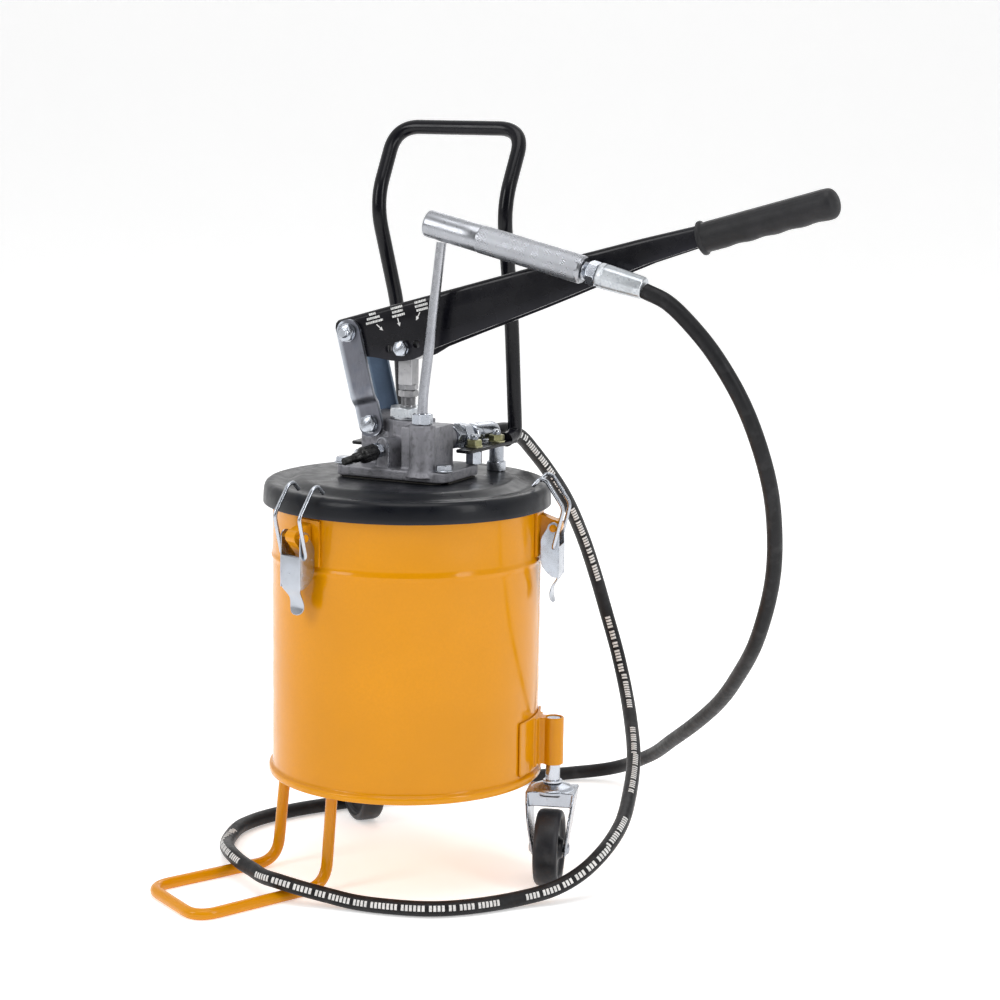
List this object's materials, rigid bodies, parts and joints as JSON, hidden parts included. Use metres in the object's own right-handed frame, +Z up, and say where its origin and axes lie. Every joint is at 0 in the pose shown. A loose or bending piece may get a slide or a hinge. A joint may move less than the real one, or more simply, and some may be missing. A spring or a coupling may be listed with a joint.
{
  "type": "gear oil pump",
  "caption": "Lever-operated bucket pump for gear oil: steel bucket on casters and a foot loop, latched lid with cast pump head, push handle, hose and parked gun",
  "frame": {"origin": "on the ground, under the middle of the pump without its hose", "axes": "+Z up, +X along the lever towards its grip, -Y towards the side that the gun hangs on"},
  "size_m": [0.6051, 0.5807, 0.7039],
  "materials": {
    "yellow_paint": "glossy orange-yellow enamel",
    "black_paint": "satin to glossy black powder coat",
    "casting": "bare grey casting with a fine grain",
    "zinc": "bright bluish zinc plating",
    "yellow_zinc": "olive yellow zinc plating",
    "steel": "satin bare steel",
    "gun_aluminium": "turned aluminium, knurled grip",
    "rubber": "matte black rubber",
    "tyre": "hard black rubber wheel",
    "hose_rubber": "smooth black hose cover with pale print",
    "black_plastic": "glossy black plastic",
    "gasket": "dull dark gasket sheet"
  },
  "bodies": {
    "base": {"bucket_shell": "yellow_paint", "lid": "black_paint", "lid_gasket": "gasket", "foot_loop": "yellow_paint", "caster_bracket_right": "yellow_paint", "caster_stem_right": "zinc", "caster_bracket_rear": "yellow_paint", "caster_stem_rear": "zinc", "latch_bracket_left": "yellow_paint", "latch_bracket_right": "yellow_paint", "latch_bracket_rear": "yellow_paint", "pump_casting": "casting", "casting_gasket": "gasket", "flange_bolt_1": "zinc", "flange_bolt_2": "zinc", "gland_packing": "gasket", "gland_nut": "zinc", "pump_barrel": "steel", "foot_valve_seat": "steel", "oil_strainer": "steel", "outlet_adaptor": "zinc", "outlet_swivel_nut": "zinc", "outlet_ferrule": "zinc", "parking_fitting": "zinc", "bleed_valve_neck": "zinc", "handle_frame": "black_paint", "handle_stud_left_front": "zinc", "handle_stud_right_front": "zinc", "handle_nut_right_front": "yellow_zinc", "handle_stud_left_rear": "zinc", "handle_stud_right_rear": "zinc", "handle_nut_right_rear": "yellow_zinc", "lower_link_bolt": "zinc", "hose": "hose_rubber"},
    "links": {"front_link": "zinc", "rear_link": "zinc", "upper_link_bolt": "zinc"},
    "lever": {"lever": "black_paint", "lever_grip": "rubber", "plunger_bolt": "zinc"},
    "plunger": {"plunger_rod": "steel", "piston": "steel", "piston_seal": "rubber"},
    "gun": {"gun_handle": "gun_aluminium", "gun_tube": "steel", "gun_nut": "zinc", "gun_ferrule": "zinc"},
    "bleed_knob": {"bleed_valve_knob": "black_plastic"},
    "foot_ball": {"foot_valve_ball": "steel"},
    "outlet_ball": {"outlet_valve_ball": "steel"},
    "fork_right": {"caster_fork_right": "zinc"},
    "wheel_right": {"caster_wheel_right": "tyre"},
    "fork_rear": {"caster_fork_rear": "zinc"},
    "wheel_rear": {"caster_wheel_rear": "tyre"},
    "latch_left": {"latch_lever_left": "zinc"},
    "bail_left": {"latch_bail_left": "zinc"},
    "latch_right": {"latch_lever_right": "zinc"},
    "bail_right": {"latch_bail_right": "zinc"},
    "latch_rear": {"latch_lever_rear": "zinc"},
    "bail_rear": {"latch_bail_rear": "zinc"}
  },
  "joints": [
    {"name": "links_rock", "type": "hinge", "parent": "base", "child": "links", "pos_m": [-0.14915, 0.039, 0.4261], "axis": [0, -1, 0], "range_deg": [-0.6, 1.8]},
    {"name": "lever_swing", "type": "hinge", "parent": "links", "child": "lever", "pos_m": [-0.17065, 0.039, 0.51], "axis": [0, -1, 0], "range_deg": [-8.3, 32]},
    {"name": "plunger_slide", "type": "slide", "parent": "base", "child": "plunger", "axis": [0, 0, 1], "range_m": [-0.0084, 0.032]},
    {"name": "gun_lift", "type": "slide", "parent": "base", "child": "gun", "axis": [0, 0, 1], "range_m": [0, 0.04]},
    {"name": "bleed_knob_turn", "type": "hinge", "parent": "base", "child": "bleed_knob", "pos_m": [-0.12705, 0.006, 0.407], "axis": [-0.4219, -0.8841, -0.2009], "range_deg": [0, 360]},
    {"name": "foot_valve_lift", "type": "slide", "parent": "base", "child": "foot_ball", "axis": [0, 0, 1], "range_m": [0, 0.005]},
    {"name": "outlet_valve_open", "type": "slide", "parent": "base", "child": "outlet_ball", "axis": [0.1606, 0.9867, -0.0241], "range_m": [0, 0.003], "stiffness_N_per_m": 50, "springref_m": -0.001},
    {"name": "caster_swivel_right", "type": "hinge", "parent": "base", "child": "fork_right", "pos_m": [0.01951, 0.07227, 0.095], "axis": [0, 0, 1], "continuous": true},
    {"name": "wheel_spin_right", "type": "hinge", "parent": "fork_right", "child": "wheel_right", "pos_m": [0.0239, 0.05792, 0.036], "axis": [0.9563, 0.2924, 0], "continuous": true},
    {"name": "caster_swivel_rear", "type": "hinge", "parent": "base", "child": "fork_rear", "pos_m": [-0.21714, 0.14237, 0.095], "axis": [0, 0, 1], "continuous": true},
    {"name": "wheel_spin_rear", "type": "hinge", "parent": "fork_rear", "child": "wheel_rear", "pos_m": [-0.22863, 0.15201, 0.036], "axis": [-0.6428, -0.766, 0], "continuous": true},
    {"name": "latch_open_left", "type": "hinge", "parent": "base", "child": "latch_left", "pos_m": [-0.1591, -0.09619, 0.338], "axis": [-0.9588, 0.284, 0], "range_deg": [0, 100]},
    {"name": "bail_swing_left", "type": "hinge", "parent": "latch_left", "child": "bail_left", "pos_m": [-0.15932, -0.09696, 0.3195], "axis": [-0.9588, 0.284, 0], "range_deg": [-131, 0.5]},
    {"name": "latch_open_right", "type": "hinge", "parent": "base", "child": "latch_right", "pos_m": [0.01805, 0.07192, 0.338], "axis": [0.2334, -0.9724, 0], "range_deg": [0, 100]},
    {"name": "bail_swing_right", "type": "hinge", "parent": "latch_right", "child": "bail_right", "pos_m": [0.01883, 0.0721, 0.3195], "axis": [0.2334, -0.9724, 0], "range_deg": [-131, 0.5]},
    {"name": "latch_open_rear", "type": "hinge", "parent": "base", "child": "latch_rear", "pos_m": [-0.21611, 0.14128, 0.338], "axis": [0.7254, 0.6884, 0], "range_deg": [0, 100]},
    {"name": "bail_swing_rear", "type": "hinge", "parent": "latch_rear", "child": "bail_rear", "pos_m": [-0.21666, 0.14186, 0.3195], "axis": [0.7254, 0.6884, 0], "range_deg": [-131, 0.5]}
  ],
  "couplings": [
    {"joint": "links_rock", "follows": "lever_swing", "ratio": 0.05},
    {"joint": "plunger_slide", "follows": "lever_swing", "m_per_rad": 0.0569},
    {"joint": "bail_swing_left", "follows": "latch_open_left", "ratio": -1.3},
    {"joint": "bail_swing_right", "follows": "latch_open_right", "ratio": -1.3},
    {"joint": "bail_swing_rear", "follows": "latch_open_rear", "ratio": -1.3}
  ]
}
